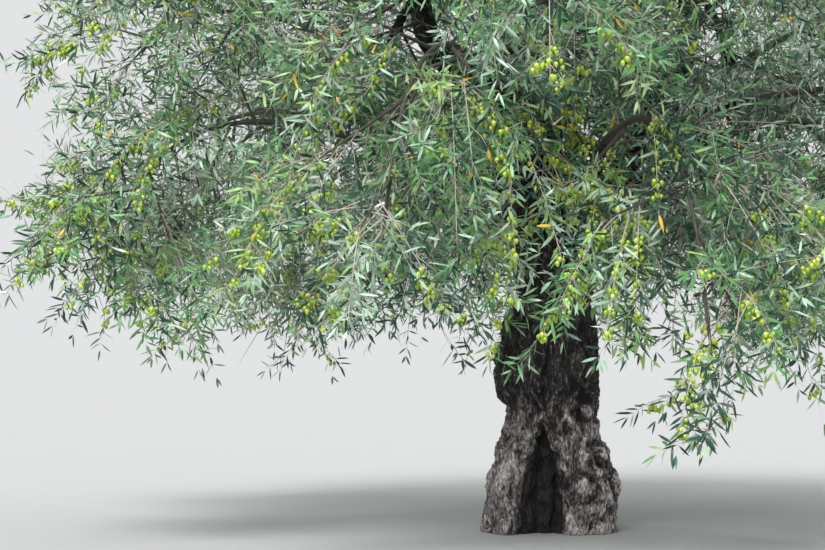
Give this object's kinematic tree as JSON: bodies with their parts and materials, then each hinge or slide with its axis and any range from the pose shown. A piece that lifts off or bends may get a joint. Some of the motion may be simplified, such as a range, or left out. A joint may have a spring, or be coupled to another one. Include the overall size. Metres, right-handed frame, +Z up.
{
  "type": "olive tree",
  "caption": "Old olive tree in fruit: a short fluted trunk with a hollow at its foot, forking into three boughs under a wide, low, weeping crown.",
  "frame": {"origin": "ground level, in the middle of the flat cut under the trunk", "axes": "+Z up, +X to the right of the pictured front, +Y away from the viewer"},
  "size_m": [5.0995, 5.1148, 4.3294],
  "materials": {
    "trunk_bark": "rough fissured bark",
    "limb_bark": "bark, finer than the trunk's",
    "foliage": "leathery leaves, silvery beneath",
    "twig_bark": "pale grey young bark",
    "fruit": "waxy yellow-green skin"
  },
  "bodies": {
    "root": {"bough_back": "limb_bark", "bough_left": "limb_bark", "bough_right": "limb_bark", "foliage_middle_1": "foliage", "foliage_middle_2": "foliage", "foliage_middle_3": "foliage", "foliage_middle_4": "foliage", "foliage_middle_5": "foliage", "foliage_middle_6": "foliage", "foliage_middle_7": "foliage", "foliage_middle_8": "foliage", "foliage_skirt_1": "foliage", "foliage_skirt_2": "foliage", "foliage_skirt_3": "foliage", "foliage_skirt_4": "foliage", "foliage_skirt_5": "foliage", "foliage_skirt_6": "foliage", "foliage_skirt_7": "foliage", "foliage_skirt_8": "foliage", "foliage_skirt_9": "foliage", "foliage_top_1": "foliage", "foliage_top_2": "foliage", "foliage_upper_1": "foliage", "foliage_upper_2": "foliage", "foliage_upper_3": "foliage", "foliage_upper_4": "foliage", "foliage_upper_5": "foliage", "foliage_upper_6": "foliage", "limb_middle_1": "limb_bark", "limb_middle_2": "limb_bark", "limb_middle_3": "limb_bark", "limb_middle_4": "limb_bark", "limb_middle_5": "limb_bark", "limb_middle_6": "limb_bark", "limb_middle_7": "limb_bark", "limb_middle_8": "limb_bark", "limb_skirt_1": "limb_bark", "limb_skirt_2": "limb_bark", "limb_skirt_3": "limb_bark", "limb_skirt_4": "limb_bark", "limb_skirt_5": "limb_bark", "limb_skirt_6": "limb_bark", "limb_skirt_7": "limb_bark", "limb_skirt_8": "limb_bark", "limb_skirt_9": "limb_bark", "limb_top_1": "limb_bark", "limb_top_2": "limb_bark", "limb_upper_3": "limb_bark", "limb_upper_5": "limb_bark", "limb_upper_6": "limb_bark", "trunk": "trunk_bark"}
  },
  "joints": []
}
